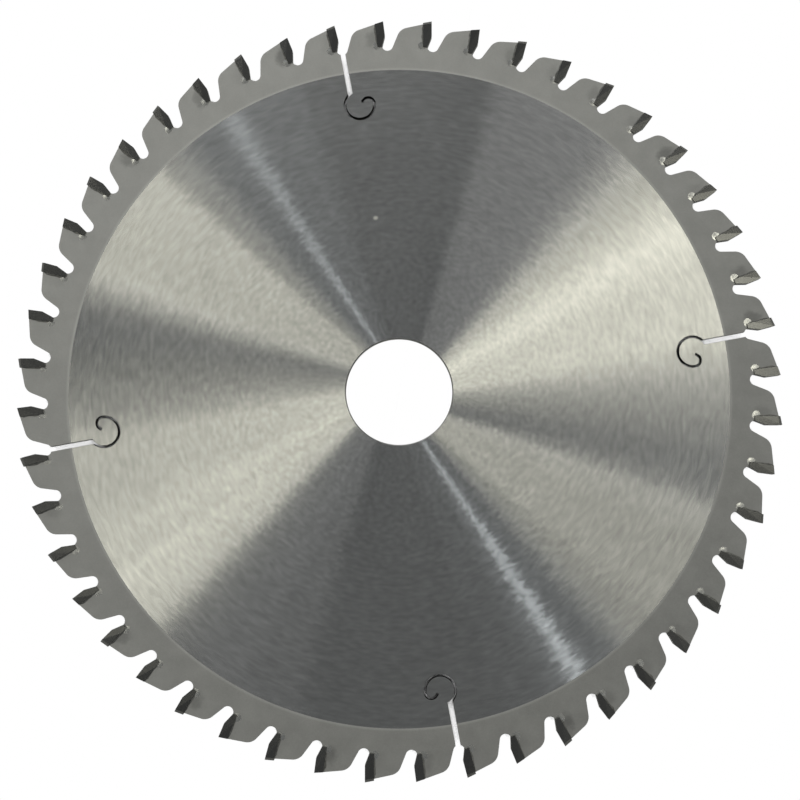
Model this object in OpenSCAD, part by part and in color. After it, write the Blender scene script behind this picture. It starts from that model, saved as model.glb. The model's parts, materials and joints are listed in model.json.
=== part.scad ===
// Carbide-tipped circular saw blade with a triple-chip grind and a negative hook.
// The blade lies flat: +Z is the arbor axis, and the origin is the bore's centre at
// mid-thickness. Seen from +Z the blade turns clockwise, and the first tooth's cutting
// edge lies on the +X axis. Lengths are in millimetres and angles in degrees.

/* [Blade] */
// Diameter over the cutting edges
blade_d = 216; // [200:1:250]
// Diameter of the arbor bore
bore_d = 30; // [16:0.1:40]
// Thickness of the steel plate
plate_t = 2; // [1.4:0.1:2.4]
// Chamfer at both ends of the bore
bore_chamfer = 0.25; // [0.1:0.05:0.5]

/* [Teeth] */
// Number of teeth
tooth_count = 48; // [36:2:56]
// Depth of the shoulder's top below the cutting circle, just behind a tip
shoulder_drop = 1.3; // [0.8:0.05:2]
// Slope of the shoulder's back from the tangent at its tip
shoulder_relief = 17; // [10:1:22]
// Rounding where the shoulder turns down into the gullet
shoulder_r = 3.5; // [1:0.1:4]
// Lean of the gullet's rear wall from the radius of the tooth behind it
gullet_lean = 17; // [8:1:22]
// Radius of the gullet's floor
gullet_r = 1.6; // [1.2:0.1:2]
// Depth of the gullet's floor below the tip's seat
gullet_below_seat = 1.25; // [0.8:0.05:2.5]

/* [Carbide tips] */
// Width of the cut, across the cutting edges
kerf = 2.8; // [2.6:0.1:3.6]
// Thickness of a tip, from its rake face to its back
tip_t = 2.5; // [1.8:0.1:3.2]
// Height of a tip, along its back
tip_h = 7.8; // [6:0.1:9]
// Height of the rake face, above the toe
rake_h = 4.6; // [3:0.1:5.5]
// Setback of the toe behind the rake face
toe_setback = 1.25; // [0.6:0.05:1.6]
// Angle of the rake face to the radius, negative where the edge trails
hook_angle = -5; // [-10:1:5]
// Relief behind the cutting edge
top_relief = 15; // [8:1:18]
// Side clearance towards the centre of the blade
radial_clearance = 1.2; // [0.5:0.1:1.5]
// Side clearance behind the cutting edge
tangential_clearance = 3; // [1:0.5:3.5]
// Width of the corner chamfers on the leading teeth
corner_chamfer = 0.9; // [0.5:0.05:1.1]
// How far the raker teeth stay inside the cutting circle
raker_drop = 0.6; // [0.2:0.05:0.8]

/* [Braze] */
// Thickness of the braze between a tip and its seat
braze_t = 0.1; // [0.05:0.01:0.2]

/* [Expansion slots] */
// Number of expansion slots
slot_count = 4; // [2:1:6]
// Gullet that holds the first slot, counted clockwise from the first tooth
first_slot_gullet = 10; // [0:1:11]
// Width of the straight slot
slot_w = 1.4; // [1:0.1:2]
// Length of the straight slot below the gullet's floor
slot_length = 11.7; // [8:0.1:16]
// Lean of the straight slot from the blade's radius
slot_lean = 1; // [0:0.5:5]
// Radius of the curl at the slot's end
curl_r = 4.2; // [3:0.1:6]
// Angle that the curl sweeps
curl_sweep = 240; // [200:5:250]
// Radius of the small hook that ends the curl
hook_r = 1.7; // [1.2:0.05:2]
// Angle that the hook sweeps
hook_sweep = 150; // [90:5:170]
// Width of the curled slit
slit_w = 0.65; // [0.4:0.05:0.75]

/* [Hidden] */
$fn = 96;
edge_r = blade_d / 2;
pitch = 360 / tooth_count;

// Spare length by which a cutting shape runs past what it cuts
spare = 1;
outside_r = edge_r / cos(pitch / 2) + spare;

// A tooth's own axes: x points the way it cuts, y points outwards along its radius.
// A tip's axes are these, turned by the hook and moved out to the cutting edge.
function turned(p, a) = [p.x * cos(a) - p.y * sin(a), p.x * sin(a) + p.y * cos(a)];
function from_tip(p) = [0, edge_r] + turned(p, -hook_angle);
function to_next_tooth(p) = turned(p, -pitch);

// The seat: a back wall and a floor, each one braze thickness away from the tip
seat_back = -tip_t - braze_t;
seat_floor = -tip_h - braze_t;
seat_top = (-shoulder_drop + seat_back * sin(hook_angle)) / cos(hook_angle);
seat_rim = from_tip([seat_back, seat_top]);
seat_corner = from_tip([seat_back, seat_floor]);
seat_lip = from_tip([-toe_setback, seat_floor]);

// The gullet's floor is an arc that starts at the seat's lip
gullet_y = seat_lip.y - gullet_below_seat + gullet_r;
lip_rise = max(0, gullet_y - seat_lip.y);
gullet_centre = [seat_lip.x + sqrt(gullet_r * gullet_r - lip_rise * lip_rise), gullet_y];

// The rear wall leaves that arc on a tangent and belongs to the next tooth
wall_lean = gullet_lean + pitch;
wall_up = [sin(wall_lean), cos(wall_lean)];
wall_in = [cos(wall_lean), -sin(wall_lean)];
wall_foot = gullet_centre + gullet_r * wall_in;

// The next tooth's shoulder slopes back to the wall, and an arc rounds their corner,
// using at most this share of the shorter side
corner_share = 0.9;
shoulder_start = to_next_tooth(seat_rim);
shoulder_back = turned([-1, 0], shoulder_relief - pitch);
wall_h = cross(shoulder_start - wall_foot, shoulder_back) / cross(wall_up, shoulder_back);
shoulder_corner = wall_foot + wall_h * wall_up;
half_turn = acos(-shoulder_back * wall_up) / 2;
shoulder_l = norm(shoulder_corner - shoulder_start);
corner_room = corner_share * min(wall_h, shoulder_l);
corner_l = min(shoulder_r * tan(half_turn), corner_room);
corner_r = corner_l / tan(half_turn);
corner_centre = shoulder_corner - corner_l * wall_up + corner_r * wall_in;

// The slot starts inside its gullet and ends where the curl begins, at this angle of it
curl_start = 120;
slot_reach = gullet_r + slot_length;
hook_start = curl_start + curl_sweep;
hook_end = hook_start + hook_sweep;
function heading(a) = [cos(a), sin(a)];
curl_centre = [0, -slot_reach] - curl_r * heading(curl_start);
hook_centre = curl_centre + (curl_r - hook_r) * heading(hook_start);
// The slit starts this turn inside the slot, whose end runs a little past it. A hole pierces
// the plate where the curl meets the hook and where the hook ends; both arcs stop inside that
// hole, short of its centre.
slit_lead_in = 8;
slot_overrun = 0.15;
pierced_d = slit_w + 0.1;
arc_stop = 0.08;
curl_stop = arc_stop / curl_r * 180 / PI;
hook_stop = arc_stop / hook_r * 180 / PI;

function is_raker(i) = i % 2 == 0;
function tip_name(i) = str(is_raker(i) ? "raker_tip_" : "chamfer_tip_", i < 10 ? "0" : "", i);

// Puts a shape from a tooth's own axes in the place of that tooth, counted clockwise from 0
module at_tooth(k) {
    rotate(-90 - k * pitch) children();
}

// Puts a shape from a tip's axes into its tooth's axes
module at_tip() {
    translate([0, edge_r]) rotate(-hook_angle) children();
}

// What is cut away between one tooth's seat and the next tooth's back
module gullet_outline() {
    deep = gullet_y < seat_lip.y;
    past_lip = from_tip([gullet_r - toe_setback, seat_floor]);
    into_gullet = deep ? [seat_lip, [seat_lip.x, gullet_y]] : [past_lip];
    over_seat = shoulder_start - spare * shoulder_back;
    difference() {
        union() {
            polygon(concat(
                [[seat_rim.x, outside_r], seat_rim, seat_corner],
                into_gullet,
                [gullet_centre, wall_foot, shoulder_corner - corner_l * wall_up],
                [shoulder_corner - corner_l * shoulder_back, over_seat],
                [over_seat * (outside_r + spare) / norm(over_seat)]
            ));
            translate(gullet_centre) circle(r = gullet_r);
        }
        translate(corner_centre) circle(r = corner_r);
    }
}

module plate_outline() {
    difference() {
        circle(r = edge_r);
        for (k = [0 : tooth_count - 1]) at_tooth(k) gullet_outline();
    }
}

// A slit that follows an arc about the Z axis
module arc_slit(r, from, sweep) {
    rotate(from) rotate_extrude(angle = sweep)
        translate([r - slit_w / 2, -plate_t]) square([slit_w, 2 * plate_t]);
}

// A hole through the plate where the slit was started or ended
module pierced_hole() {
    cylinder(d = pierced_d, h = 2 * plate_t, center = true);
}

// One expansion slot with its curl, from the gullet's centre inwards
module expansion_slot() {
    slot_l = slot_reach + slot_overrun;
    translate([-slot_w / 2, -slot_l, -plate_t]) cube([slot_w, slot_l, 2 * plate_t]);
    translate(curl_centre)
        arc_slit(curl_r, curl_start - slit_lead_in, curl_sweep + slit_lead_in - curl_stop);
    translate(hook_centre) arc_slit(hook_r, hook_start + hook_stop, hook_sweep - hook_stop);
    translate(hook_centre + hook_r * heading(hook_start)) pierced_hole();
    translate(hook_centre + hook_r * heading(hook_end)) pierced_hole();
}

module arbor_bore() {
    chamfer_d = bore_d + 2 * bore_chamfer;
    cylinder(d = bore_d, h = 2 * plate_t, center = true);
    for (side = [0, 180]) rotate([side, 0, 0])
        translate([0, 0, plate_t / 2 - bore_chamfer])
            cylinder(d1 = bore_d, d2 = chamfer_d + 2 * spare, h = bore_chamfer + spare);
}

module plate() {
    color([0.62, 0.62, 0.6]) difference() {
        linear_extrude(plate_t, center = true) plate_outline();
        arbor_bore();
        for (j = [0 : slot_count - 1])
            at_tooth(first_slot_gullet + floor(j * tooth_count / slot_count))
                translate(gullet_centre)
                    rotate(atan2(-gullet_centre.x, gullet_centre.y) + slot_lean)
                        expansion_slot();
    }
}

// A tip's outline seen along the arbor, in the tip's axes
module tip_outline() {
    polygon([[0, spare], [0, -rake_h], [-toe_setback, -tip_h], [-tip_t, -tip_h], [-tip_t, spare]]);
}

// A tip's outline seen along the cut, x across the kerf and y outwards: the leading teeth
// have chamfered corners, and the rakers are square and lower
module kerf_outline(raker) {
    half = kerf / 2;
    foot_y = -tip_h - spare;
    foot = half + foot_y * tan(radial_clearance);
    land = half - corner_chamfer;
    square_edge = [[half, -raker_drop], [-half, -raker_drop]];
    chamfered_edge = [[half, -corner_chamfer], [land, 0], [-land, 0], [-half, -corner_chamfer]];
    polygon(concat(raker ? square_edge : chamfered_edge, [[-foot, foot_y], [foot, foot_y]]));
}

// A tip's outline seen along its radius, narrower behind the cutting edge
module clearance_outline() {
    front = spare + tip_t;
    half_front = kerf / 2 + front * tan(tangential_clearance);
    half_back = kerf / 2 - 2 * front * tan(tangential_clearance);
    polygon([[front, half_front], [-2 * front, half_back], [-2 * front, -half_back], [front, -half_front]]);
}

module carbide_tip(i) {
    sweep_l = 2 * (tip_t + spare);
    color([0.24, 0.24, 0.25]) at_tooth(i - 1) intersection() {
        at_tip() linear_extrude(kerf, center = true) tip_outline();
        translate([0, edge_r, 0]) rotate(top_relief) rotate([0, -90, 0])
            translate([0, 0, -sweep_l]) linear_extrude(3 * sweep_l) kerf_outline(is_raker(i));
        translate([0, edge_r + spare, 0]) rotate([90, 0, 0])
            linear_extrude(tip_h + 3 * spare) clearance_outline();
    }
}

// The braze fills the gap behind and below each tip, across the plate's thickness
module braze_joints() {
    color([0.76, 0.7, 0.52])
        for (k = [0 : tooth_count - 1]) at_tooth(k) at_tip()
            linear_extrude(plate_t, center = true)
                polygon([
                    [-tip_t, seat_top], [seat_back, seat_top], [seat_back, seat_floor],
                    [-toe_setback, seat_floor], [-toe_setback, -tip_h], [-tip_t, -tip_h]
                ]);
}

plate();
braze_joints();
for (i = [1 : tooth_count]) carbide_tip(i);
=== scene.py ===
# A carbide-tipped circular saw blade, dressed around its CAD frame and set on a pale stage
import json
import math
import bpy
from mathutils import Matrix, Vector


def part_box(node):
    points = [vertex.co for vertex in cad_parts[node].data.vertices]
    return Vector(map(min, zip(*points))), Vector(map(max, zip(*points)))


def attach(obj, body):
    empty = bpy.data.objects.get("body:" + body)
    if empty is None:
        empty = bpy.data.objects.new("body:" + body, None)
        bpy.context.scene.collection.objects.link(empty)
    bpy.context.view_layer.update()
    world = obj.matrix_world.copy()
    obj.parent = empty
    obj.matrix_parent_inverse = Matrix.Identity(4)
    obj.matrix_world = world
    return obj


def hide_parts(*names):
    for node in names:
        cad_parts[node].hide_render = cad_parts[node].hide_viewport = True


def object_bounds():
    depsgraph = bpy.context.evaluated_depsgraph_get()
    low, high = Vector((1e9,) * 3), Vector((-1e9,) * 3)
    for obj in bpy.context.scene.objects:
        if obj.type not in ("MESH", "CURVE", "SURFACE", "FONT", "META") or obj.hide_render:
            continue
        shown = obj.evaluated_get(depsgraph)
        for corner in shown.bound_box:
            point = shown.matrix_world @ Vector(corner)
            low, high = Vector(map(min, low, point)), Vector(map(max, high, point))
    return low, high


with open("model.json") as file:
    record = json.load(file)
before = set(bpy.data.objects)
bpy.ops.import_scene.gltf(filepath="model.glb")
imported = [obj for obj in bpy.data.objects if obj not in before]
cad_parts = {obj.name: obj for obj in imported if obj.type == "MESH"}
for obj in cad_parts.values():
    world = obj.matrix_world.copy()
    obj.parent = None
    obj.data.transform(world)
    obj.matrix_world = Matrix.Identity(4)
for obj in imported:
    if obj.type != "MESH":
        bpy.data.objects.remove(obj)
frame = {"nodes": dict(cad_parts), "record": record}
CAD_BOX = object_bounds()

from types import SimpleNamespace

import bmesh
import bpy
import numpy as np
from bpy.props import FloatProperty, FloatVectorProperty, IntProperty, PointerProperty
from mathutils import Matrix, Vector
from mathutils.geometry import delaunay_2d_cdt

bl_info = {
    "name": "Carbide-Tipped Saw Blade",
    "version": (1, 0, 0),
    "blender": (4, 5, 0),
    "location": "View3D > Sidebar > Saw Blade",
    "description": "Builds a carbide-tipped circular saw blade and its studio stage",
    "category": "Add Mesh",
}

MM = 0.001
BODY = "root"
PLATE_LOW, PLATE_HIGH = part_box("plate")
BORE = next(m for m in frame["record"]["mounts"] if m["name"] == "arbor_bore")
TIP_NODES = {kind: sorted(n for n in frame["nodes"] if n.startswith(kind))
             for kind in ("chamfer_tip", "raker_tip")}


# Properties

def length(name, description, default):
    return FloatProperty(name=name, description=description, default=default, min=0.0,
                         unit="LENGTH", precision=5)


def angle(name, description, degrees):
    return FloatProperty(name=name, description=description, default=math.radians(degrees),
                         subtype="ANGLE")


def colour(name, description, default):
    return FloatVectorProperty(name=name, description=description, default=default, size=3,
                               min=0.0, max=1.0, subtype="COLOR")


class BladePlateSettings(bpy.types.PropertyGroup):
    """Sizes and colours of the steel plate"""
    cutting_radius: length("Cutting Radius", "Radius over the cutting edges",
                           max(CAD_BOX[1][0], CAD_BOX[1][1]))
    thickness: length("Thickness", "Thickness of the steel plate", PLATE_HIGH[2] - PLATE_LOW[2])
    bore_radius: length("Bore Radius", "Radius of the arbor bore", BORE["dims"]["r_mm"] * MM)
    bore_chamfer: length("Bore Chamfer", "Chamfer at both ends of the bore", 0.25 * MM)
    edge_break: length("Edge Break", "Rounding of the plate's cut edges", 0.06 * MM)
    band_radius: length("Band Radius", "Inner radius of the matte band along the rim", 93 * MM)
    teeth: IntProperty(name="Teeth", description="Number of teeth", default=48, min=4)
    shoulder_drop: length("Shoulder Drop", "Depth of the shoulder below the cutting circle", 1.3 * MM)
    shoulder_relief: angle("Shoulder Relief", "Slope of the shoulder's back", 17)
    shoulder_radius: length("Shoulder Radius", "Rounding between shoulder and gullet", 3.5 * MM)
    gullet_lean: angle("Gullet Lean", "Lean of the gullet's rear wall", 17)
    gullet_radius: length("Gullet Radius", "Radius of the gullet's floor", 1.6 * MM)
    gullet_depth: length("Gullet Depth", "Depth of the gullet's floor below the seat", 1.25 * MM)
    slots: IntProperty(name="Slots", description="Number of expansion slots", default=4, min=1)
    first_slot: IntProperty(name="First Slot", description="Gullet that holds the first slot", default=10)
    slot_width: length("Slot Width", "Width of the straight slot", 1.4 * MM)
    slot_length: length("Slot Length", "Length of the slot below the gullet's floor", 11.7 * MM)
    slot_lean: angle("Slot Lean", "Lean of the slot from the blade's radius", 1)
    curl_radius: length("Curl Radius", "Radius of the curl at the slot's end", 4.2 * MM)
    curl_sweep: angle("Curl Sweep", "Angle that the curl sweeps", 240)
    hook_radius: length("Hook Radius", "Radius of the hook that ends the curl", 1.7 * MM)
    hook_sweep: angle("Hook Sweep", "Angle that the hook sweeps", 150)
    slot_overrun: length("Slot Overrun", "How far the slot runs past the start of the curl", 0.15 * MM)
    slit_width: length("Slit Width", "Width of the curled slit", 0.65 * MM)
    pierced_radius: length("Pierced Radius", "Radius of the hole that ends the slit", 0.375 * MM)
    ground: colour("Ground Steel", "Colour of the ground face", (0.66, 0.66, 0.645))
    blasted: colour("Blasted Steel", "Colour of the matte band", (0.445, 0.445, 0.44))
    cut: colour("Cut Steel", "Colour of the cut edges", (0.42, 0.42, 0.41))
    # The slits' walls are painted near black: a painted shade for the dark inside the narrow slits
    painted_shade: colour("Burnt Steel", "Colour of the slits' burnt walls", (0.026, 0.025, 0.024))


class BladeTipSettings(bpy.types.PropertyGroup):
    """Sizes and colours of the carbide tips"""
    thickness: length("Thickness", "From the rake face to the back", 2.5 * MM)
    height: length("Height", "Height along the back", 7.8 * MM)
    toe_setback: length("Toe Setback", "Setback of the toe behind the rake face", 1.25 * MM)
    hook: angle("Hook Angle", "Angle of the rake face to the radius", -5)
    edge_break: length("Edge Break", "Rounding of the ground edges", 0.03 * MM)
    seed: IntProperty(name="Seed", description="Seed of the shades from tip to tip", default=7)
    carbide: colour("Carbide", "Colour of the ground carbide", (0.19, 0.19, 0.185))


class BladeBrazeSettings(bpy.types.PropertyGroup):
    """Sizes and colours of the braze"""
    film: length("Film", "Thickness of the braze between a tip and its seat", 0.1 * MM)
    bead: length("Bead", "Width of the fillet behind and below a tip", 0.45 * MM)
    drop: length("Drop", "Width of the drop of braze at a tip's foot", 2.4 * MM)
    rise: length("Rise", "Height of the fillet above the plate", 0.2 * MM)
    uneven: length("Unevenness", "How far the fillets swell and shrink", 0.22 * MM)
    seed: IntProperty(name="Seed", description="Seed of the beads' unevenness", default=3)
    alloy: colour("Braze Alloy", "Colour of the braze", (0.7, 0.7, 0.68))


class BladeStageSettings(bpy.types.PropertyGroup):
    """Camera, lamps and floor"""
    camera_at: FloatVectorProperty(name="Camera", description="Place of the camera",
                                   default=(3.76 * MM, -34.8 * MM, 360.4 * MM), subtype="TRANSLATION")
    camera_aim: FloatVectorProperty(name="Aim", description="Point that the camera looks at",
                                    default=(0.44 * MM, -2.35 * MM, 1.0 * MM), subtype="TRANSLATION")
    camera_roll: angle("Camera Roll", "Turn of the picture about the line of sight", 4.98)
    lens: FloatProperty(name="Lens", description="Focal length", default=57.78, unit="CAMERA")
    lamp_level: FloatProperty(name="Lamp Level", description="Strength of all the lamps", default=1.0)
    world_level: FloatProperty(name="World Level", description="Strength of the even light", default=0.135)
    floor: colour("Floor", "Colour of the floor", (0.9, 0.9, 0.9))


# Shared helpers

def settings():
    scene = bpy.context.scene
    return scene.saw_blade_plate, scene.saw_blade_tips, scene.saw_blade_braze


def new_object(name, mesh):
    obj = bpy.data.objects.new(name, mesh)
    bpy.context.scene.collection.objects.link(obj)
    return obj


def turned(points, by):
    """Points in a plane, turned about the origin"""
    p = np.asarray(points, float)
    c, s = math.cos(by), math.sin(by)
    return np.stack([p[..., 0] * c - p[..., 1] * s, p[..., 0] * s + p[..., 1] * c], axis=-1)


def heading(a):
    return np.array([math.cos(a), math.sin(a)])


def bearing(v):
    return math.atan2(v[1], v[0])


def arc(centre, radius, start, end, steps):
    """Points along an arc, both ends among them"""
    a = np.linspace(start, end, steps + 1)
    return centre + radius * np.stack([np.cos(a), np.sin(a)], axis=1)


# Shape of one tooth, in its own axes: x the way it cuts, y outwards

# Share of a straight stretch that the rounding at its end may take up
ROUNDING_SHARE = 0.9


def tooth_form(plate, tips, braze):
    """Points and arcs of a seat, the gullet ahead of it and the next tooth's back"""
    form = SimpleNamespace(pitch=2 * math.pi / plate.teeth)
    hook = tips.hook

    def from_tip(x, y):
        return np.array([0.0, plate.cutting_radius]) + turned([x, y], -hook)

    form.from_tip = from_tip
    back = -tips.thickness - braze.film
    floor = -tips.height - braze.film
    form.seat_top = (-plate.shoulder_drop + back * math.sin(hook)) / math.cos(hook)
    form.rim = from_tip(back, form.seat_top)
    form.corner = from_tip(back, floor)
    form.lip = from_tip(-tips.toe_setback, floor)
    r = plate.gullet_radius
    rise = r - plate.gullet_depth
    form.gullet = form.lip + np.array([math.sqrt(r * r - rise * rise), rise])
    lean = plate.gullet_lean + form.pitch
    up = np.array([math.sin(lean), math.cos(lean)])
    ahead = np.array([math.cos(lean), -math.sin(lean)])
    form.wall_foot = form.gullet + r * ahead
    form.gullet_from = bearing(form.lip - form.gullet)
    form.gullet_to = bearing(ahead)

    start = turned(form.rim, -form.pitch)
    slope = turned([-1.0, 0.0], plate.shoulder_relief - form.pitch)
    rise = np.cross(start - form.wall_foot, slope) / np.cross(up, slope)
    corner = form.wall_foot + rise * up
    half = math.acos(-slope @ up) / 2
    room = ROUNDING_SHARE * min(rise, np.linalg.norm(corner - start))
    run = min(plate.shoulder_radius * math.tan(half), room)
    form.back_radius = run / math.tan(half)
    form.back_centre = corner - run * up + form.back_radius * ahead
    form.back_from = bearing(-ahead)
    form.back_to = bearing(corner - run * slope - form.back_centre)
    return form


GULLET_STEPS = 24
BACK_STEPS = 14
CURL_STEPS = 84
HOOK_STEPS = 44
END_STEPS = 14
CURL_START = math.radians(120)


def slot_path(plate, form, lean):
    """Outline of a slot with its curled slit, in axes at the gullet's centre, with the
    places where its walls cross the band's edge marked by their index"""
    half = plate.slot_width / 2
    top = -math.sqrt(plate.gullet_radius ** 2 - half ** 2)
    reach = -(plate.gullet_radius + plate.slot_length)
    floor = reach - plate.slot_overrun
    centre = turned(form.gullet, -lean)
    far = half + plate.edge_break

    def crossing(side):
        return math.sqrt(plate.band_radius ** 2 - (centre[0] + side * far) ** 2) - centre[1]

    curl = np.array([0.0, reach]) - plate.curl_radius * heading(CURL_START)
    curl_end = CURL_START + plate.curl_sweep
    hook = curl + (plate.curl_radius - plate.hook_radius) * heading(curl_end)
    hook_end = curl_end + plate.hook_sweep
    w = plate.slit_width / 2
    # The slit's outer wall starts at the slot's side, and its inner wall at the slot's end
    from_side = math.acos((-half - curl[0]) / (plate.curl_radius + w))
    from_end = math.pi - math.asin((floor - curl[1]) / (plate.curl_radius - w))
    hole = plate.pierced_radius
    back_off = math.asin(math.sqrt(hole ** 2 - w ** 2) / plate.hook_radius)
    walls = []
    for side, start in ((1, from_side), (-1, from_end)):
        walls.append(np.concatenate([
            arc(curl, plate.curl_radius + side * w, start, curl_end, CURL_STEPS),
            arc(hook, plate.hook_radius + side * w, curl_end, hook_end - back_off, HOOK_STEPS)[1:],
        ]))
    end = hook + plate.hook_radius * heading(hook_end)
    first, last = bearing(walls[0][-1] - end), bearing(walls[1][-1] - end)
    last += 2 * math.pi * (last < first)
    cap = arc(end, hole, first, last, END_STEPS)[1:-1]
    path = np.concatenate([
        [[-half, top], [-half, crossing(-1)]],
        walls[0], cap, walls[1][::-1],
        [[half, floor], [half, crossing(1)], [half, top]],
    ])
    return path, (1, len(path) - 2)


def plate_outline(plate, form):
    """The plate's outer outline, clockwise, the places where its slots cross the band's edge,
    and the stretches that bound the curled slits"""
    lean = math.atan2(-form.gullet[0], form.gullet[1]) + plate.slot_lean
    slot, marks = slot_path(plate, form, lean)
    half = math.asin(plate.slot_width / 2 / plate.gullet_radius)
    down = -math.pi / 2 + lean
    seat = [form.rim, form.corner, form.lip]
    back = arc(form.back_centre, form.back_radius, form.back_from, form.back_to, BACK_STEPS)
    r = plate.gullet_radius
    plain = arc(form.gullet, r, form.gullet_from, form.gullet_to, GULLET_STEPS)[1:]
    before = arc(form.gullet, r, form.gullet_from, down - half, GULLET_STEPS // 3)[1:-1]
    after = arc(form.gullet, r, down + half, form.gullet_to, GULLET_STEPS // 2)[1:]
    slotted = np.concatenate([before, form.gullet + turned(slot, lean), after])
    step = plate.teeth // plate.slots
    with_slot = {(plate.first_slot + j * step) % plate.teeth for j in range(plate.slots)}
    points, crossings, slits = [], [], []
    for k in range(plate.teeth):
        gullet = slotted if k in with_slot else plain
        if k in with_slot:
            base = sum(len(p) for p in points) + len(seat) + len(before)
            crossings.append((base + marks[0], base + marks[1]))
            slits.append(range(base + marks[0] + 1, base + marks[1] - 2))
        points.append(turned(np.concatenate([seat, gullet, back]), -math.pi / 2 - k * form.pitch))
    return np.concatenate(points), crossings, slits


def inset(loop, by):
    """A clockwise loop moved into the plate, with mitred corners"""
    ahead = np.roll(loop, -1, axis=0) - loop
    ahead /= np.linalg.norm(ahead, axis=1)[:, None]
    normal = np.stack([ahead[:, 1], -ahead[:, 0]], axis=1)
    before = np.roll(normal, 1, axis=0)
    mitre = (normal + before) / (1 + np.sum(normal * before, axis=1))[:, None]
    return loop + by * mitre


BORE_STEPS = 192
BAND_STEPS = 480
SHARP_FROM = math.radians(40)
FILL_EPSILON = 1e-7
# The last slot holds the slits' walls, painted near black as painted shade
GROUND, BLASTED, CUT, SLIT_SHADE = 0, 1, 2, 3


def band_arcs(plate, loop, crossings):
    """Points of the band's edge between the slots, with the outline points that end each arc"""
    arcs = []
    for (_, leave), (meet, _) in zip(crossings, crossings[1:] + crossings[:1]):
        a, b = bearing(loop[leave]), bearing(loop[meet])
        b -= 2 * math.pi * (b > a)
        steps = max(2, round(BAND_STEPS * (a - b) / (2 * math.pi)))
        arcs.append((leave, arc(np.zeros(2), plate.band_radius, a, b, steps)[1:-1], meet))
    return arcs


def plate_mesh(plate, tips, braze):
    """The plate: two flat faces with a matte band, rounded cut edges and a chamfered bore"""
    form = tooth_form(plate, tips, braze)
    outline, crossings, slits = plate_outline(plate, form)
    # Outline points whose walls, in the curled slits, get the near-black painted shade
    painted_shade = {i for stretch in slits for i in stretch}
    count = len(outline)
    half, soft = plate.thickness / 2, plate.edge_break
    mid = soft * (1 - math.sqrt(0.5))
    levels = [(half, soft), (half - mid, mid), (half - soft, 0.0),
              (soft - half, 0.0), (mid - half, mid), (-half, soft)]
    loops = [inset(outline, by) for _, by in levels]
    verts = [np.column_stack([loop, np.full(count, z)]) for loop, (z, _) in zip(loops, levels)]
    faces, slots, smooth = [], [], []

    def strip(upper, lower, size, dark=frozenset()):
        for i in range(size):
            j = (i + 1) % size
            faces.append((upper + i, upper + j, lower + j, lower + i))
            slots.append(SLIT_SHADE if i in dark else CUT)
            smooth.append(True)

    for level in range(len(levels) - 1):
        strip(level * count, (level + 1) * count, count, painted_shade)

    bore_from = len(levels) * count
    wide, narrow = plate.bore_radius + plate.bore_chamfer, plate.bore_radius
    lift = half - plate.bore_chamfer
    bore_levels = [(half, wide), (lift, narrow), (-lift, narrow), (-half, wide)]
    ring = arc(np.zeros(2), 1.0, 0.0, 2 * math.pi, BORE_STEPS)[:-1]
    for z, radius in bore_levels:
        verts.append(np.column_stack([radius * ring, np.full(BORE_STEPS, z)]))
    for level in range(len(bore_levels) - 1):
        strip(bore_from + level * BORE_STEPS, bore_from + (level + 1) * BORE_STEPS, BORE_STEPS)

    # The flat faces are filled between the outline, the bore and the band's edge
    arcs = band_arcs(plate, loops[0], crossings)
    points = np.concatenate([loops[0], wide * ring] + [p for _, p, _ in arcs])
    edges, start = [], count + BORE_STEPS
    for leave, p, meet in arcs:
        chain = [leave] + list(range(start, start + len(p))) + [meet]
        edges += list(zip(chain, chain[1:]))
        start += len(p)
    bounds = [list(range(count))[::-1], list(range(count, count + BORE_STEPS))]
    placed, _, triangles, came_from, _, lies_in = delaunay_2d_cdt(
        [Vector(p / MM) for p in points], edges, bounds, 0, FILL_EPSILON, True)
    if len(placed) != len(points):
        raise RuntimeError("the plate's outline, bore and band cross each other")
    where = [ids[0] for ids in came_from]
    extra = len(points) - count - BORE_STEPS
    band_from = bore_from + len(bore_levels) * BORE_STEPS
    for z in (half, -half):
        verts.append(np.column_stack([points[count + BORE_STEPS:], np.full(extra, z)]))

    def vertex(i, top):
        if i < count:
            return i if top else (len(levels) - 1) * count + i
        if i < count + BORE_STEPS:
            return bore_from + i - count + (0 if top else (len(bore_levels) - 1) * BORE_STEPS)
        return band_from + i - count - BORE_STEPS + (0 if top else extra)

    # A triangle belongs to the plate if it lies in the outline, bound 0, and not in the bore, bound 1
    for tri, inside in zip(triangles, lies_in):
        if 0 not in inside or 1 in inside:
            continue
        ids = [where[i] for i in tri]
        a, b, c = points[ids]
        material = GROUND if np.linalg.norm((a + b + c) / 3) < plate.band_radius else BLASTED
        if np.cross(b - a, c - a) < 0:
            ids = ids[::-1]
        faces.append(tuple(vertex(i, True) for i in ids))
        faces.append(tuple(vertex(i, False) for i in ids[::-1]))
        slots.extend((material, material))
        smooth.extend((False, False))

    mesh = bpy.data.meshes.new("saw_plate")
    mesh.from_pydata(np.concatenate(verts).tolist(), [], faces)
    mesh.polygons.foreach_set("material_index", slots)
    # Marking sharp edges by angle makes every face smooth, so the flat ones are set after it
    mesh.set_sharp_from_angle(angle=SHARP_FROM)
    mesh.polygons.foreach_set("use_smooth", smooth)
    mesh.validate()
    mesh.update()
    return mesh


# Materials

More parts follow.
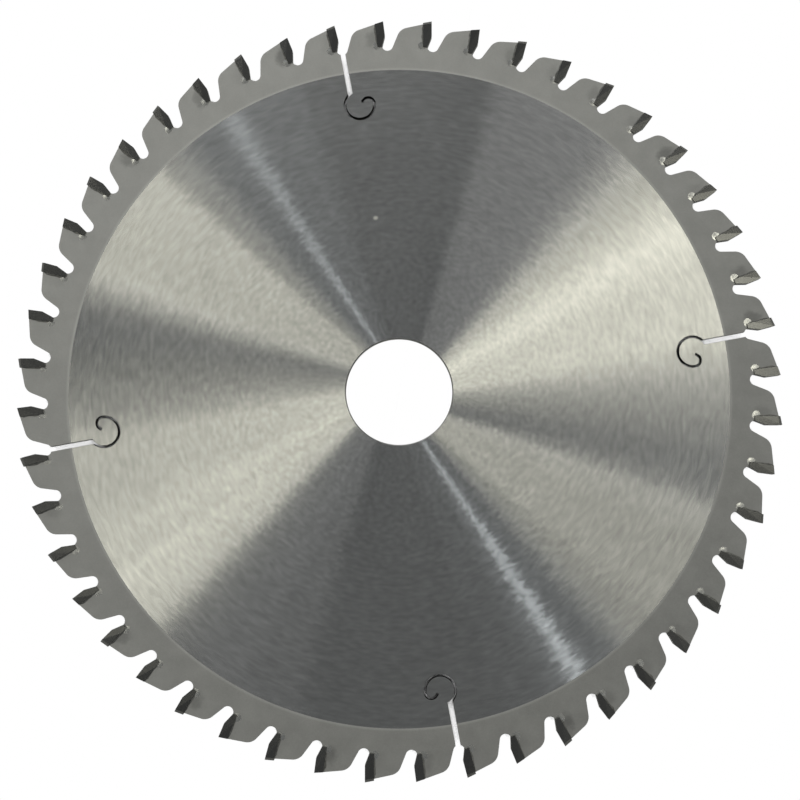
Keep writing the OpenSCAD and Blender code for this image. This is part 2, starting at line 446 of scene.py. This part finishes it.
class Nodes:
    """A node tree with short ways to add and join nodes"""

    def __init__(self, tree):
        self.tree = tree
        tree.nodes.clear()

    def add(self, kind, inputs=None, **settings):
        node = self.tree.nodes.new(kind)
        for name, value in settings.items():
            setattr(node, name, value)
        for name, value in (inputs or {}).items():
            socket = node.inputs[name]
            if isinstance(value, bpy.types.NodeSocket):
                self.tree.links.new(value, socket)
            else:
                socket.default_value = value
        return node

    def math(self, operation, *values):
        return self.add("ShaderNodeMath", dict(enumerate(values)), operation=operation).outputs[0]

    def vector(self, operation, *values, out=0):
        return self.add("ShaderNodeVectorMath", dict(enumerate(values)), operation=operation).outputs[out]

    def scaled(self, vector, by):
        return self.add("ShaderNodeVectorMath", {0: vector, "Scale": by}, operation="SCALE").outputs[0]

    def combine(self, x, y, z):
        return self.add("ShaderNodeCombineXYZ", {0: x, 1: y, 2: z}).outputs[0]

    def noise(self, vector, detail=2.0, roughness=0.5, scale=1.0):
        return self.add("ShaderNodeTexNoise", {"Vector": vector, "Scale": scale, "Detail": detail,
                                               "Roughness": roughness}).outputs["Fac"]

    def remap(self, value, low, high, to_low, to_high, kind="LINEAR"):
        return self.add("ShaderNodeMapRange", {"Value": value, "From Min": low, "From Max": high,
                                               "To Min": to_low, "To Max": to_high},
                        interpolation_type=kind).outputs["Result"]

    def output(self, shader):
        self.add("ShaderNodeOutputMaterial", {"Surface": shader})


def new_material(name):
    material = bpy.data.materials.new(name)
    material.use_nodes = True
    return material, Nodes(material.node_tree)


def polar(n):
    """Object coordinates, radius in the blade's plane, and the unit vector outwards"""
    place = n.add("ShaderNodeTexCoord").outputs["Object"]
    flat = n.vector("MULTIPLY", place, (1.0, 1.0, 0.0))
    return place, n.vector("LENGTH", flat, out="Value"), n.vector("NORMALIZE", flat)


def ring_marks(n, radius, outwards, around, across, detail, roughness=0.55):
    """Noise drawn out along circles, with marks counted per radian around and per metre across"""
    across_vector = n.combine(0.0, 0.0, n.math("MULTIPLY", radius, across))
    return n.noise(n.vector("ADD", n.scaled(outwards, around), across_vector), detail, roughness)


# Middle of the nick, the way of its own grain, its inner and outer radius, and how far it outdoes the marks
NICK = (-11.0 * MM, 48.9 * MM, 1.0 * MM)
NICK_GRAIN = (-0.19, 0.98, 0.0)
NICK_INNER, NICK_OUTER = 0.4 * MM, 0.7 * MM
NICK_PULL = 9.0
# The grinding marks are true circles about the bore at one radius only. Nearer the bore they slant,
# and the lines square to them miss its centre by up to this much
MARKS_TRUE_AT = 70 * MM
MARKS_MISS = 2.3 * MM


def ground_steel(rgb):
    """Steel ground in near circles about the bore, with short uneven marks and one small nick"""
    material, n = new_material("ground_steel")
    place, radius, outwards = polar(n)
    wander = n.remap(n.noise(place, 0.0, 0.5, 60.0), 0.3, 0.7, -0.1 * MM, 0.1 * MM)
    bent = n.math("ADD", radius, wander)
    streaks = ring_marks(n, bent, outwards, around=22.0, across=900.0, detail=1.5)
    turns = ring_marks(n, bent, outwards, around=26.0, across=1150.0, detail=1.0)
    fine = ring_marks(n, radius, outwards, around=9.0, across=5200.0, detail=2.0)
    cloud = ring_marks(n, radius, outwards, around=3.0, across=70.0, detail=2.0)
    shade = n.math("ADD", n.remap(streaks, 0.25, 0.75, -0.12, 0.12),
                   n.remap(fine, 0.25, 0.75, 0.98, 1.02))
    shade = n.math("ADD", shade, n.remap(cloud, 0.3, 0.7, -0.03, 0.03))
    xyz = n.add("ShaderNodeSeparateXYZ", {0: outwards}).outputs
    along = n.combine(n.math("MULTIPLY", xyz[1], -1.0), xyz[0], 0.0)
    slant = n.math("SUBTRACT", MARKS_MISS / MARKS_TRUE_AT, n.math("DIVIDE", MARKS_MISS, radius))
    stray = n.scaled(outwards, n.math("ADD", slant, n.remap(turns, 0.25, 0.75, -0.026, 0.026)))
    nick = n.remap(n.vector("DISTANCE", place, NICK, out="Value"), NICK_INNER, NICK_OUTER, NICK_PULL, 0.0)
    tangent = n.vector("ADD", n.vector("ADD", along, stray), n.scaled(NICK_GRAIN, nick))
    shader = n.add("ShaderNodeBsdfAnisotropic", {
        "Color": n.scaled(rgb, shade), "Roughness": n.remap(fine, 0.3, 0.7, 0.245, 0.255),
        "Anisotropy": 0.84, "Tangent": n.vector("NORMALIZE", tangent)}, distribution="BECKMANN")
    n.output(shader.outputs[0])
    return material


# Place of a smudge: how far it lies behind the cutting edge, and its radius on the blade
SMUDGE_BEHIND = 3.2 * MM
SMUDGE_RADIUS = 102.2 * MM


def seat_smudges(n, place, radius, teeth):
    """Dark smudges behind the tips' feet, of a different strength at each tooth"""
    xyz = n.add("ShaderNodeSeparateXYZ", {0: place}).outputs
    turn = n.math("DIVIDE", n.math("ARCTAN2", xyz[1], xyz[0]), 2 * math.pi / teeth)
    behind = n.math("MULTIPLY", n.math("FRACT", turn), 2 * math.pi / teeth)
    across = n.math("SUBTRACT", n.math("MULTIPLY", behind, radius), SMUDGE_BEHIND)
    down = n.math("SUBTRACT", radius, SMUDGE_RADIUS)
    ragged = n.remap(n.noise(place, 3.0, 0.6, 500.0), 0.3, 0.7, -0.6 * MM, 0.6 * MM)
    off = n.vector("LENGTH", n.combine(across, n.math("MULTIPLY", down, 0.75), 0.0), out="Value")
    spot = n.remap(n.math("ADD", off, ragged), 0.6 * MM, 2.6 * MM, 1.0, 0.0, "SMOOTHSTEP")
    tooth = n.add("ShaderNodeTexWhiteNoise", {"W": n.math("FLOOR", turn)}, noise_dimensions="1D")
    strength = n.math("MULTIPLY", tooth.outputs["Value"], tooth.outputs["Value"])
    return n.math("MULTIPLY", spot, strength)


def blasted_steel(plate):
    """Matte steel of the band along the rim, paler at the band's edge, lighter on one side as painted light,
    and smudged at the seats
    """
    material, n = new_material("blasted_steel")
    place, radius, outwards = polar(n)
    grain = n.noise(place, 2.0, 0.6, 3500.0)
    cloud = n.noise(place, 3.0, 0.6, 160.0)
    # Painted light: the band's colour is raised on one side and lowered on the other, standing in for broad
    # light from that side
    painted_side_light = n.vector("DOT_PRODUCT", outwards, (-0.11, 0.15, 0.0), out="Value")
    shade = n.math("ADD", n.remap(grain, 0.3, 0.7, 0.95, 1.05),
                   n.remap(cloud, 0.3, 0.7, -0.06, 0.06))
    shade = n.math("ADD", shade, painted_side_light)
    edge = plate.band_radius
    line = n.remap(radius, edge + 0.3 * MM, edge + 0.9 * MM, 0.22, 0.0, "SMOOTHSTEP")
    shade = n.math("ADD", shade, line)
    smudges = seat_smudges(n, place, radius, plate.teeth)
    shade = n.math("MULTIPLY", shade, n.remap(smudges, 0.0, 1.0, 1.0, 0.58))
    bump = n.add("ShaderNodeBump", {"Strength": 0.25, "Distance": 0.03 * MM, "Height": grain})
    shader = n.add("ShaderNodeBsdfPrincipled", {
        "Base Color": n.scaled(plate.blasted, shade), "Metallic": 0.1, "Roughness": 0.8,
        "Normal": bump.outputs[0]})
    n.output(shader.outputs[0])
    return material


def cut_steel(name, rgb, roughness):
    """Cut walls of the gullets, slots and bore, and the slits' walls, which are painted near black as
    painted shade
    """
    material, n = new_material(name)
    place = n.add("ShaderNodeTexCoord").outputs["Object"]
    drag = n.noise(n.vector("MULTIPLY", place, (9000.0, 9000.0, 900.0)), 2.0, 0.6)
    bump = n.add("ShaderNodeBump", {"Strength": 0.3, "Distance": 0.02 * MM, "Height": drag})
    shader = n.add("ShaderNodeBsdfPrincipled", {
        "Base Color": n.scaled(rgb, n.remap(drag, 0.3, 0.7, 0.88, 1.08)), "Metallic": 1.0,
        "Roughness": roughness, "Normal": bump.outputs[0]})
    n.output(shader.outputs[0])
    return material


TIP_SHADE = "tip_shade"


def ground_carbide(rgb):
    """Ground cemented carbide, with a slightly different shade on each tip"""
    material, n = new_material("ground_carbide")
    place, radius, outwards = polar(n)
    grain = n.noise(place, 2.0, 0.7, 9000.0)
    marks = ring_marks(n, radius, outwards, around=8.0, across=2600.0, detail=2.0)
    own = n.add("ShaderNodeAttribute", attribute_name=TIP_SHADE).outputs["Fac"]
    shade = n.math("ADD", n.remap(own, 0.0, 1.0, 0.9, 1.1),
                   n.remap(marks, 0.3, 0.7, -0.05, 0.05))
    bump = n.add("ShaderNodeBump", {"Strength": 0.05, "Distance": 0.01 * MM, "Height": marks})
    shader = n.add("ShaderNodeBsdfPrincipled", {
        "Base Color": n.scaled(rgb, shade), "Metallic": 1.0,
        "Roughness": n.remap(grain, 0.3, 0.7, 0.21, 0.27), "Normal": bump.outputs[0]})
    n.output(shader.outputs[0])
    return material


DROP = "braze_drop"


def braze_alloy(rgb):
    """Braze with an oxide bloom, dull and darkened as painted shade along the tips, and bright in the drops
    at their feet
    """
    material, n = new_material("braze_alloy")
    place = n.add("ShaderNodeTexCoord").outputs["Object"]
    bloom = n.noise(place, 3.0, 0.6, 1500.0)
    drop = n.add("ShaderNodeAttribute", attribute_name=DROP).outputs["Fac"]
    # Away from the drops the colour falls to 0.3 of the alloy's: painted shade along the tips' backs
    shade = n.math("MULTIPLY", n.remap(bloom, 0.3, 0.7, 0.75, 1.15),
                   n.remap(drop, 0.0, 1.0, 0.3, 1.0))
    dull = n.math("MULTIPLY", n.remap(bloom, 0.3, 0.7, 0.62, 0.5),
                  n.remap(drop, 0.0, 1.0, 1.0, 0.5))
    shader = n.add("ShaderNodeBsdfPrincipled", {
        "Base Color": n.scaled(rgb, shade), "Metallic": 1.0, "Roughness": dull})
    n.output(shader.outputs[0])
    return material


# Openness to the sky at which the floor turns from dark to white, and how far off it looks for shade
FLOOR_DARK, FLOOR_WHITE = 0.185, 0.208
FLOOR_REACH = 20 * MM


def white_floor(rgb):
    """Pale floor that shows white to the camera where nothing shades it"""
    material, n = new_material("white_floor")
    diffuse = n.add("ShaderNodeBsdfDiffuse", {"Color": (*rgb, 1.0)})
    occlusion = n.add("ShaderNodeAmbientOcclusion", {"Distance": FLOOR_REACH}, samples=16)
    open_sky = n.remap(occlusion.outputs["AO"], FLOOR_DARK, FLOOR_WHITE, 0.02, 1.0, "SMOOTHSTEP")
    glow = n.add("ShaderNodeEmission", {"Color": (1.0, 1.0, 1.0, 1.0), "Strength": open_sky})
    path = n.add("ShaderNodeLightPath").outputs
    seen = n.math("MAXIMUM", path["Is Camera Ray"], path["Is Transmission Ray"])
    mixed = n.add("ShaderNodeMixShader", {0: seen, 1: diffuse.outputs[0], 2: glow.outputs[0]})
    n.output(mixed.outputs[0])
    return material


# Geometry Nodes

class Tree(Nodes):
    """A Geometry Nodes group with named inputs"""

    def __init__(self, name):
        group = bpy.data.node_groups.new(name, "GeometryNodeTree")
        super().__init__(group)
        self.sockets = {}
        self.socket("Geometry", "NodeSocketGeometry")
        group.interface.new_socket("Geometry", in_out="OUTPUT", socket_type="NodeSocketGeometry")

    def socket(self, name, kind):
        self.sockets[name] = self.tree.interface.new_socket(name, in_out="INPUT", socket_type=kind)

    def start(self):
        return self.add("NodeGroupInput").outputs

    def finish(self, geometry):
        self.add("NodeGroupOutput", {"Geometry": geometry})

    def made(self, obj, **values):
        """The tree's result on an object, as a plain mesh"""
        modifier = obj.modifiers.new("Blade", "NODES")
        modifier.node_group = self.tree
        for name, value in values.items():
            modifier[self.sockets[name.replace("_", " ").title()].identifier] = value
        graph = bpy.context.evaluated_depsgraph_get()
        mesh = bpy.data.meshes.new_from_object(obj.evaluated_get(graph), preserve_all_data_layers=True,
                                               depsgraph=graph)
        obj.modifiers.clear()
        obj.data = mesh
        mesh.name = obj.name


def copies_around(tree, given):
    """Copies of the tree's mesh, each turned one step further about the arbor, and their index"""
    points = tree.add("GeometryNodePoints", {"Count": given["Count"]})
    index = tree.add("GeometryNodeInputIndex").outputs[0]
    spin = tree.combine(0.0, 0.0, tree.math("MULTIPLY", index, given["Step"]))
    copies = tree.add("GeometryNodeInstanceOnPoints", {"Points": points.outputs[0],
                                                       "Instance": given["Geometry"], "Rotation": spin})
    return copies.outputs[0], index


def around_arbor(material):
    """A tree that repeats its mesh around the arbor, with a random shade for each copy"""
    tree = Tree("around_arbor")
    tree.socket("Count", "NodeSocketInt")
    tree.socket("Step", "NodeSocketFloat")
    tree.socket("Seed", "NodeSocketInt")
    given = tree.start()
    copies, index = copies_around(tree, given)
    shade = tree.add("FunctionNodeRandomValue", {"ID": index, "Seed": given["Seed"]}, data_type="FLOAT")
    stored = tree.add("GeometryNodeStoreNamedAttribute",
                      {"Geometry": copies, "Name": TIP_SHADE, "Value": shade.outputs[1]},
                      data_type="FLOAT", domain="INSTANCE")
    real = tree.add("GeometryNodeRealizeInstances", {"Geometry": stored.outputs[0]})
    dressed = tree.add("GeometryNodeSetMaterial", {"Geometry": real.outputs[0], "Material": material})
    tree.finish(dressed.outputs[0])
    return tree


MERGE_WITHIN = 0.001 * MM
FLAT_WITHIN = math.radians(0.5)


def eased_copy(node, soft):
    """A merged copy of a CAD solid with its edges rounded"""
    bm = bmesh.new()
    bm.from_mesh(frame["nodes"][node].data)
    bmesh.ops.remove_doubles(bm, verts=bm.verts, dist=MERGE_WITHIN)
    bmesh.ops.dissolve_limit(bm, angle_limit=FLAT_WITHIN, verts=bm.verts, edges=bm.edges)
    bmesh.ops.bevel(bm, geom=list(bm.edges), offset=soft, segments=2, profile=0.5, affect="EDGES",
                    clamp_overlap=True)
    bmesh.ops.recalc_face_normals(bm, faces=bm.faces)
    # Faces much larger than the rounding are the ground ones, which stay flat
    large = (10 * soft) ** 2
    for face in bm.faces:
        face.smooth = face.calc_area() < large
        face.material_index = 0
    mesh = bpy.data.meshes.new(node)
    bm.to_mesh(mesh)
    bm.free()
    mesh.materials.clear()
    return mesh


BEAD_EDGE = "bead_edge"
BRAZE_MERGE = 0.0001 * MM
# How far the rims of a fillet and a drop lie below the plate's face
FILLET_SUNK = 0.01 * MM
DROP_SUNK = 0.001 * MM
# The fillet starts below the seat's top, widens to its full width, and ends before the toe
FILLET_START = 0.4 * MM
FILLET_TAPER = 1.2 * MM
FILLET_END = 0.1 * MM
# Its width at the start and below the foot, as shares, and the share of its height that it loses at the foot
START_SHARE = 0.25
FOOT_SHARE = 0.7
FOOT_LOSS = 0.55
BACK_STATIONS, CORNER_STATIONS, FOOT_STATIONS = 30, 6, 8
# Places across a fillet and across a drop, as shares of the width
FILLET_SHARES = (0.0, 0.14, 0.3, 0.46, 0.62, 0.8, 1.0)
DROP_SHARES = (0.25, 0.45, 0.62, 0.76, 0.88, 0.96, 1.0)
# The drop's middle lies behind the tip's back and above its foot, and its height is a share of the fillet's
DROP_BEHIND = 0.3 * MM
DROP_ABOVE = 0.4 * MM
DROP_RISE = 0.3
DROP_STEPS = 24


def fillet_stations(form, tips, braze):
    """Places along a tip's back and foot, with the way that the fillet runs out and its width there"""
    top, foot, back = form.seat_top - FILLET_START, -tips.height, -tips.thickness
    stations = []
    for y in np.linspace(top, foot, BACK_STATIONS):
        taper = min(1.0, START_SHARE + (top - y) / FILLET_TAPER)
        stations.append(((back, y), (-1.0, 0.0), taper * braze.bead))
    for a in np.linspace(0, math.pi / 2, CORNER_STATIONS)[1:-1]:
        stations.append(((back, foot), (-math.cos(a), -math.sin(a)), braze.bead))
    for x in np.linspace(back, -tips.toe_setback - FILLET_END, FOOT_STATIONS):
        stations.append(((x, foot), (0.0, -1.0), braze.bead * FOOT_SHARE))
    return stations


def braze_mesh(plate, tips, braze):
    """The film around the first tooth's tip, with a fillet and a drop on each face of the plate"""
    form = tooth_form(plate, tips, braze)
    half = plate.thickness / 2
    bm = bmesh.new()
    edge = bm.verts.layers.float.new(BEAD_EDGE)
    pooled = bm.verts.layers.float.new(DROP)

    def vertex(x, y, z, weight=0.0, drop=0.0):
        flat = turned(form.from_tip(x, y), -math.pi / 2)
        v = bm.verts.new((flat[0], flat[1], z))
        v[edge] = weight
        v[pooled] = drop
        return v

    def add_film():
        back, floor = -tips.thickness - braze.film, -tips.height - braze.film
        film = [(-tips.thickness, form.seat_top), (back, form.seat_top), (back, floor),
                (-tips.toe_setback, floor), (-tips.toe_setback, -tips.height),
                (-tips.thickness, -tips.height)]
        upper, lower = ([vertex(x, y, z) for x, y in film] for z in (half, -half))
        bm.faces.new(upper)
        bm.faces.new(lower[::-1])
        for i in range(len(film)):
            j = (i + 1) % len(film)
            bm.faces.new((upper[j], upper[i], lower[i], lower[j]))

    def add_fillet(side):
        sections = []
        for (x, y), (dx, dy), width in fillet_stations(form, tips, braze):
            rise = braze.rise * (1.0 + FOOT_LOSS * y / tips.height)
            section = []
            for t in FILLET_SHARES:
                z = half + rise * (1 - t) ** 2 if t < 1 else half - FILLET_SUNK
                out = t * width
                section.append(vertex(x + dx * out, y + dy * out, side * z, out / braze.bead))
            section.append(vertex(x, y, side * (half - FILLET_SUNK)))
            sections.append(section)
        size = len(FILLET_SHARES) + 1
        for a, b in zip(sections, sections[1:]):
            for i in range(size):
                j = (i + 1) % size
                face = bm.faces.new((a[i], a[j], b[j], b[i]))
                face.smooth = j < len(FILLET_SHARES)
        bm.faces.new(sections[0])
        bm.faces.new(sections[-1][::-1])

    def add_drop(side):
        x, y = -tips.thickness - DROP_BEHIND, DROP_ABOVE - tips.height
        turns = [2 * math.pi * i / DROP_STEPS for i in range(DROP_STEPS)]
        rings = []
        for share in DROP_SHARES:
            reach = share * braze.drop / 2
            dome = DROP_RISE * braze.rise * (1 - share ** 2) ** 2
            z = half + dome if share < 1 else half - DROP_SUNK
            rings.append([vertex(x + reach * math.cos(a), y + reach * math.sin(a), side * z, share, 1.0)
                          for a in turns])
        bm.faces.new(rings[0]).smooth = True
        bm.faces.new(rings[-1][::-1])
        for inner, outer in zip(rings, rings[1:]):
            for i in range(DROP_STEPS):
                j = (i + 1) % DROP_STEPS
                bm.faces.new((inner[i], inner[j], outer[j], outer[i])).smooth = True

    add_film()
    for side in (1, -1):
        add_fillet(side)
        add_drop(side)
    bmesh.ops.remove_doubles(bm, verts=bm.verts, dist=BRAZE_MERGE)
    bmesh.ops.recalc_face_normals(bm, faces=bm.faces)
    mesh = bpy.data.meshes.new("braze")
    bm.to_mesh(mesh)
    bm.free()
    return mesh


def uneven_around_arbor(material):
    """A tree that repeats its mesh around the arbor and lets each copy's fillets swell and shrink"""
    tree = Tree("uneven_around_arbor")
    tree.socket("Count", "NodeSocketInt")
    tree.socket("Step", "NodeSocketFloat")
    tree.socket("Unevenness", "NodeSocketFloat")
    tree.socket("Seed", "NodeSocketInt")
    given = tree.start()
    copies, _ = copies_around(tree, given)
    real = tree.add("GeometryNodeRealizeInstances", {"Geometry": copies})
    place = tree.add("GeometryNodeInputPosition").outputs[0]
    noise = tree.add("ShaderNodeTexNoise", {"Vector": place, "W": given["Seed"], "Scale": 420.0,
                                            "Detail": 1.0}, noise_dimensions="4D")
    swell = tree.remap(noise.outputs["Fac"], 0.3, 0.7, -1.0, 1.0)
    weight = tree.add("GeometryNodeInputNamedAttribute", {"Name": BEAD_EDGE}, data_type="FLOAT").outputs[0]
    by = tree.math("MULTIPLY", tree.math("MULTIPLY", swell, given["Unevenness"]), weight)
    xyz = tree.add("ShaderNodeSeparateXYZ", {0: place}).outputs
    backwards = tree.vector("NORMALIZE", tree.combine(tree.math("MULTIPLY", xyz[1], -1.0), xyz[0], 0.0))
    moved = tree.add("GeometryNodeSetPosition", {"Geometry": real.outputs[0],
                                                 "Offset": tree.scaled(backwards, by)})
    dressed = tree.add("GeometryNodeSetMaterial", {"Geometry": moved.outputs[0], "Material": material})
    tree.finish(dressed.outputs[0])
    return tree


# Operators

class MakePlate(bpy.types.Operator):
    """Build the steel plate with its gullets, curled expansion slots and bore"""
    bl_idname = "saw_blade.make_plate"
    bl_label = "Steel Plate"

    def execute(self, context):
        plate, tips, braze = settings()
        obj = new_object("saw_plate", plate_mesh(plate, tips, braze))
        for material in (ground_steel(plate.ground), blasted_steel(plate),
                         cut_steel("cut_steel", plate.cut, 0.42),
                         # The slits' walls, painted near black as painted shade
                         cut_steel("painted_shade_steel", plate.painted_shade, 0.6)):
            obj.data.materials.append(material)
        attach(obj, BODY)
        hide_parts("plate")
        return {"FINISHED"}


class MakeTips(bpy.types.Operator):
    """Build the carbide tips, chamfered and square ones in turn"""
    bl_idname = "saw_blade.make_tips"
    bl_label = "Carbide Tips"

    def execute(self, context):
        plate, tips, _ = settings()
        tree = around_arbor(ground_carbide(tips.carbide))
        for i, (kind, nodes) in enumerate(TIP_NODES.items()):
            obj = new_object(kind + "s", eased_copy(nodes[0], tips.edge_break))
            tree.made(obj, count=len(nodes), step=-4 * math.pi / plate.teeth, seed=tips.seed + i)
            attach(obj, BODY)
            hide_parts(*nodes)
        return {"FINISHED"}


class MakeBraze(bpy.types.Operator):
    """Build the braze that holds the tips, with its uneven fillets and drops"""
    bl_idname = "saw_blade.make_braze"
    bl_label = "Braze Joints"

    def execute(self, context):
        plate, tips, braze = settings()
        obj = new_object("braze_fillets", braze_mesh(plate, tips, braze))
        tree = uneven_around_arbor(braze_alloy(braze.alloy))
        tree.made(obj, count=plate.teeth, step=-2 * math.pi / plate.teeth,
                  unevenness=braze.uneven, seed=braze.seed)
        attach(obj, BODY)
        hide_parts("braze_joints")
        return {"FINISHED"}


WARM = (1.0, 0.985, 0.85)
COOL = (0.9, 0.96, 1.0)
PLAIN = (1.0, 1.0, 1.0)
# Name, azimuth and elevation in degrees, distance, width and height in metres, glow and colour
LAMPS = (
    ("high", 37, 72, 0.9, 0.155, 0.2, 3.0, WARM),
    ("key", 35.5, 48, 0.9, 0.31, 0.25, 0.88, WARM),
    ("key_wide", 38, 48, 0.9, 0.44, 0.25, 0.76, WARM),
    ("key_side", 46.5, 48, 0.9, 0.17, 0.25, 1.1, WARM),
    ("glow", 66, 48, 0.9, 0.28, 0.25, 0.8, PLAIN),
    ("low", -156.5, 48, 0.9, 0.42, 0.25, 1.05, WARM),
    ("low_side", -142.5, 48, 0.9, 0.14, 0.25, 1.75, WARM),
    ("low_high", -159, 76, 0.9, 0.1, 0.14, 1.3, WARM),
    ("low_glow", -126, 48, 0.9, 0.18, 0.25, 0.2, PLAIN),
    ("left", 147.5, 48, 0.9, 0.24, 0.25, 2.3, WARM),
    ("left_wide", 146.5, 48, 0.9, 0.33, 0.25, 0.9, WARM),
    ("right", -23.6, 48, 0.9, 0.33, 0.25, 1.4, WARM),
    ("wedge", 3, 48, 0.9, 0.34, 0.25, 0.45, PLAIN),
    ("left_low", 162, 48, 0.9, 0.14, 0.25, 0.27, PLAIN),
    ("strip", -49.2, 48, 0.9, 0.026, 0.25, 3.6, COOL),
    ("strip_glow", -46, 48, 0.9, 0.2, 0.25, 0.35, COOL),
    ("strip_far", 122.2, 48, 0.9, 0.026, 0.25, 1.0, COOL),
    ("far_glow", 122, 48, 0.9, 0.25, 0.25, 0.3, COOL),
    ("near", 112, 14, 0.45, 0.6, 0.15, 1.3, PLAIN),
)


FLOOR_RADIUS = 6.0
FLOOR_GAP = 0.02 * MM


def make_floor(stage):
    """A wide round floor just below the blade"""
    bm = bmesh.new()
    bmesh.ops.create_circle(bm, cap_ends=True, segments=64, radius=FLOOR_RADIUS)
    bmesh.ops.translate(bm, verts=bm.verts, vec=(0.0, 0.0, CAD_BOX[0][2] - FLOOR_GAP))
    mesh = bpy.data.meshes.new("floor")
    bm.to_mesh(mesh)
    bm.free()
    mesh.materials.append(white_floor(stage.floor))
    new_object("floor", mesh)


def make_lamps(stage):
    """Lamps that all face the bore, each drawing its own fan of light on the ground face"""
    for name, azimuth, elevation, distance, width, height, glow, rgb in LAMPS:
        data = bpy.data.lights.new(name, "AREA")
        data.shape = "RECTANGLE"
        data.size, data.size_y = width, height
        data.energy = stage.lamp_level * glow * math.pi * width * height
        data.color = rgb
        lamp = new_object(name, data)
        a, e = math.radians(azimuth), math.radians(elevation)
        towards = Vector((math.cos(e) * math.cos(a), math.cos(e) * math.sin(a), math.sin(e)))
        lamp.location = towards * distance
        lamp.rotation_euler = (-lamp.location).to_track_quat("-Z", "Y").to_euler()


def make_world(stage):
    """Even light, which the camera sees as nearly white"""
    world = bpy.data.worlds.new("studio")
    world.use_nodes = True
    n = Nodes(world.node_tree)
    path = n.add("ShaderNodeLightPath").outputs
    level = n.remap(path["Is Camera Ray"], 0.0, 1.0, stage.world_level, 1.0)
    glow = n.add("ShaderNodeBackground", {"Color": (0.96, 0.99, 1.0, 1.0), "Strength": level})
    n.add("ShaderNodeOutputWorld", {"Surface": glow.outputs[0]})
    return world


def make_camera(stage):
    """A camera above the blade, rolled about its line of sight"""
    data = bpy.data.cameras.new("camera")
    data.lens = stage.lens
    data.sensor_width = 36.0
    data.clip_start, data.clip_end = 0.01, 50.0
    camera = new_object("camera", data)
    place, aim = Vector(stage.camera_at), Vector(stage.camera_aim)
    forward = (aim - place).normalized()
    right = Vector((math.cos(stage.camera_roll), math.sin(stage.camera_roll), 0.0))
    right = (right - forward * right.dot(forward)).normalized()
    turn = Matrix((right, right.cross(forward), -forward)).transposed()
    camera.matrix_world = Matrix.Translation(place) @ turn.to_4x4()
    return camera


class MakeStage(bpy.types.Operator):
    """Set up the floor, the lamps and the camera"""
    bl_idname = "saw_blade.make_stage"
    bl_label = "Stage"

    def execute(self, context):
        scene = context.scene
        stage = scene.saw_blade_stage
        make_floor(stage)
        make_lamps(stage)
        scene.world = make_world(stage)
        scene.camera = make_camera(stage)
        scene.view_settings.view_transform = "Standard"
        return {"FINISHED"}


class SawBladePanel(bpy.types.Panel):
    """Lists the steps that build the saw blade"""
    bl_idname = "VIEW3D_PT_saw_blade"
    bl_label = "Saw Blade"
    bl_space_type = "VIEW_3D"
    bl_region_type = "UI"
    bl_category = "Saw Blade"

    def draw(self, context):
        for operator in STEPS:
            self.layout.operator(operator.bl_idname)


STEPS = (MakePlate, MakeTips, MakeBraze, MakeStage)
GROUPS = {
    "saw_blade_plate": BladePlateSettings,
    "saw_blade_tips": BladeTipSettings,
    "saw_blade_braze": BladeBrazeSettings,
    "saw_blade_stage": BladeStageSettings,
}


def register():
    for cls in (*GROUPS.values(), *STEPS, SawBladePanel):
        bpy.utils.register_class(cls)
    for name, group in GROUPS.items():
        setattr(bpy.types.Scene, name, PointerProperty(type=group))


def unregister():
    for name in GROUPS:
        delattr(bpy.types.Scene, name)
    for cls in reversed((*GROUPS.values(), *STEPS, SawBladePanel)):
        bpy.utils.unregister_class(cls)


def main():
    register()
    bpy.ops.saw_blade.make_plate()
    bpy.ops.saw_blade.make_tips()
    bpy.ops.saw_blade.make_braze()
    bpy.ops.saw_blade.make_stage()


if __name__ == "__main__":
    main()
